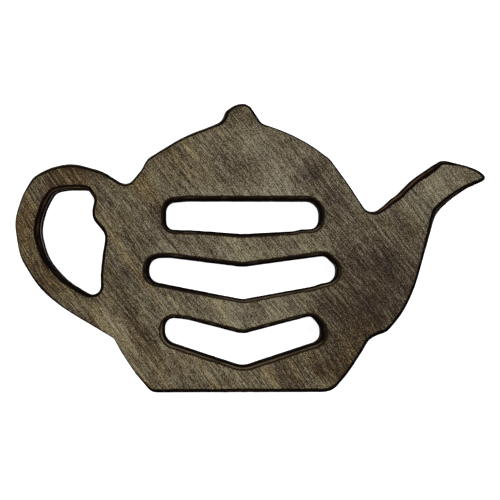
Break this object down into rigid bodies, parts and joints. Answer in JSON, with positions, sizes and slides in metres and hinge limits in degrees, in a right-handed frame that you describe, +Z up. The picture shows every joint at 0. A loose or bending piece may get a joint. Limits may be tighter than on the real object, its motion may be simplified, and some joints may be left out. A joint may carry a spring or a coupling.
{
  "type": "wooden trivet",
  "caption": "Flat plywood trivet in the outline of a squat teapot, with a looped handle, a short spout, long slots cut right through the belly and low feet underneath.",
  "frame": {"origin": "middle of the board's bounding box, at the bottom of the feet", "axes": "lies flat: +Z up out of the face, +Y towards the lid's knob, +X towards the spout"},
  "size_m": [0.2004, 0.123, 0.011],
  "materials": {
    "stained_face": "satin olive brown stain with fine pale flecks along the grain",
    "scorched_cross_ply": "scorched cut edge, near black, slightly glossy",
    "scorched_core_ply": "scorched cut edge, dark brown, slightly glossy",
    "stained_back": "satin olive brown stain",
    "foot_rubber": "matt black"
  },
  "bodies": {
    "root": {"face_veneer": "stained_face", "upper_cross_ply": "scorched_cross_ply", "core_ply": "scorched_core_ply", "lower_cross_ply": "scorched_cross_ply", "back_veneer": "stained_back", "front_left_foot": "foot_rubber", "front_right_foot": "foot_rubber", "rear_left_foot": "foot_rubber", "rear_right_foot": "foot_rubber"}
  },
  "joints": []
}
